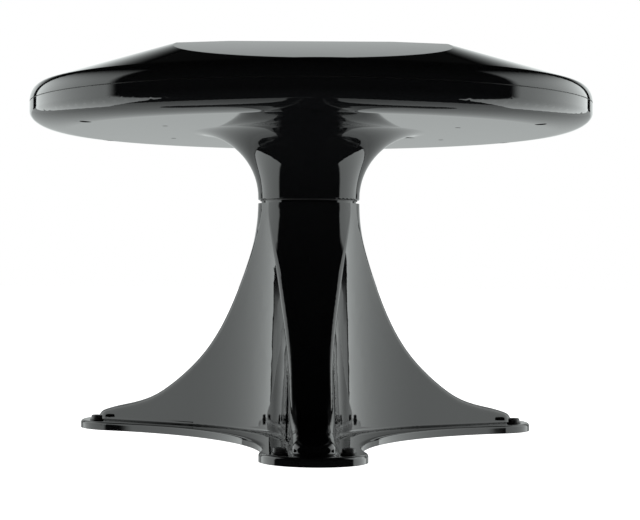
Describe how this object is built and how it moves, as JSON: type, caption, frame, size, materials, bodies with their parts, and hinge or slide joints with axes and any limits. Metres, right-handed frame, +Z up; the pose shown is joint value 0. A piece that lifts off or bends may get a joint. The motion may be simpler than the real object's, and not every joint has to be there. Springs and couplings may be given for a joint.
{
  "type": "radar dome antenna",
  "caption": "Flat faceted round radar head on a flared neck that swivels on a three-legged pedestal, with a geared rotating antenna sealed inside.",
  "frame": {"origin": "on the swivel axis at the underside of the base plate", "axes": "+Z up along the swivel and scanner axis; one leg points along -Y, which is the front"},
  "size_m": [0.5, 0.5, 0.3515],
  "materials": {
    "black_casting": "high gloss black paint on die cast aluminium",
    "black_shell": "high gloss black moulded shell",
    "spigot_gloss": "black anodised, polished",
    "black_bolt": "satin black stainless fastener",
    "black_washer": "satin black washer",
    "seal_rubber": "matte black elastomer",
    "stainless": "plain stainless steel",
    "bearing_steel": "ground steel",
    "acetal": "black acetal",
    "sheet_aluminium": "plain sheet aluminium",
    "machined_aluminium": "turned aluminium",
    "motor_case": "zinc plated can",
    "brass_parts": "machined brass",
    "board_green": "solder mask over glass epoxy",
    "shield_tin": "tin plated sheet",
    "dark_plastic": "moulded connector plastic",
    "antenna_white": "slotted low-loss laminate",
    "lead_weight": "cast weight"
  },
  "bodies": {
    "pedestal": {"pedestal_casting": "black_casting", "foot_bolts": "black_bolt", "foot_washers": "black_washer", "swivel_spigot": "spigot_gloss", "spigot_screws": "stainless", "thrust_washer": "acetal", "retaining_nut": "machined_aluminium", "stop_pin": "stainless", "cable_grommet": "seal_rubber"},
    "head": {"lower_radome": "black_shell", "upper_radome": "black_shell", "rim_seal": "seal_rubber", "rim_screws": "black_bolt", "chassis_screws": "black_bolt", "vent_plug": "seal_rubber", "lower_bush": "acetal", "upper_bush": "acetal", "stop_lug": "machined_aluminium", "chassis_plate": "sheet_aluminium", "spindle_housing": "machined_aluminium", "housing_cap": "machined_aluminium", "housing_screws": "stainless", "lower_bearing": "bearing_steel", "upper_bearing": "bearing_steel", "drive_motor": "motor_case", "motor_screws": "stainless", "main_board": "board_green", "rf_shield": "shield_tin", "power_board": "board_green", "board_standoffs": "brass_parts", "board_screws": "stainless", "connector_socket": "dark_plastic", "hall_sensor": "dark_plastic"},
    "scanner": {"spindle_shaft": "bearing_steel", "driven_gear": "acetal", "antenna_carrier": "sheet_aluminium", "antenna_array": "machined_aluminium", "radiating_face": "antenna_white", "array_screws": "stainless", "rotary_joint": "brass_parts", "counterweight": "lead_weight", "home_magnet": "bearing_steel"},
    "pinion": {"pinion_gear": "brass_parts", "motor_shaft": "bearing_steel"}
  },
  "joints": [
    {"name": "head_swivel", "type": "hinge", "parent": "pedestal", "child": "head", "pos_m": [0, 0, 0.212], "axis": [0, 0, 1], "range_deg": [-160, 160]},
    {"name": "scanner_spin", "type": "hinge", "parent": "head", "child": "scanner", "pos_m": [0, 0, 0.294], "axis": [0, 0, 1], "continuous": true},
    {"name": "pinion_spin", "type": "hinge", "parent": "head", "child": "pinion", "pos_m": [0.04, 0, 0.294], "axis": [0, 0, 1], "continuous": true}
  ],
  "couplings": [
    {"joint": "pinion_spin", "follows": "scanner_spin", "ratio": -3}
  ]
}
